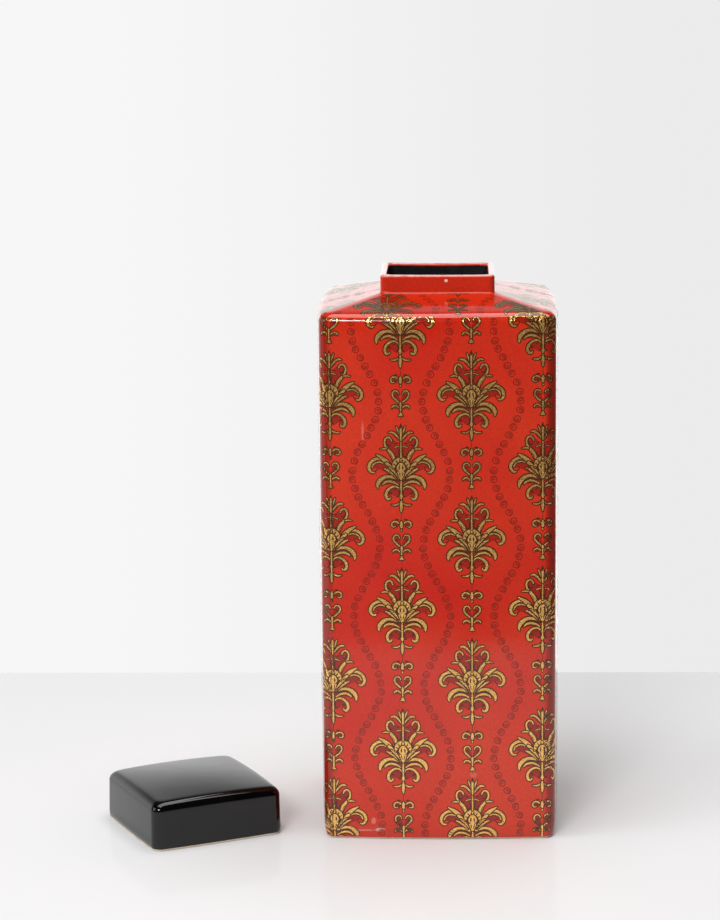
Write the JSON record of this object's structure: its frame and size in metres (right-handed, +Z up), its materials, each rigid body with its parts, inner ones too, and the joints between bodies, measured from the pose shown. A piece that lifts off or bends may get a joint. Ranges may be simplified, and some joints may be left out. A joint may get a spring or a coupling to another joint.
{
  "type": "ginger jar",
  "caption": "Tall square porcelain jar with a low hipped shoulder, a short square neck and a square domed cap that lies beside it.",
  "frame": {"origin": "centre of the jar's foot ring, on the surface that the jar stands on", "axes": "+Z up the jar's axis; -Y out of the front wall; +X to the right, so the lid lies on the -X side"},
  "size_m": [0.2561, 0.1535, 0.3147],
  "materials": {
    "biscuit": "matte",
    "red_glaze": "gloss",
    "black_glaze": "polished",
    "gold_print": "satin",
    "dark_print": "satin"
  },
  "bodies": {
    "jar": {"jar_body": "biscuit", "jar_red_glaze": "red_glaze", "jar_black_lining": "black_glaze"},
    "lid": {"lid_body": "biscuit", "lid_black_glaze": "black_glaze", "lid_black_lining": "black_glaze"}
  },
  "joints": [
    {"name": "lid_lift", "type": "slide", "parent": "jar", "child": "lid", "axis": [0, 0, 1], "range_m": [0, 0.33]}
  ]
}
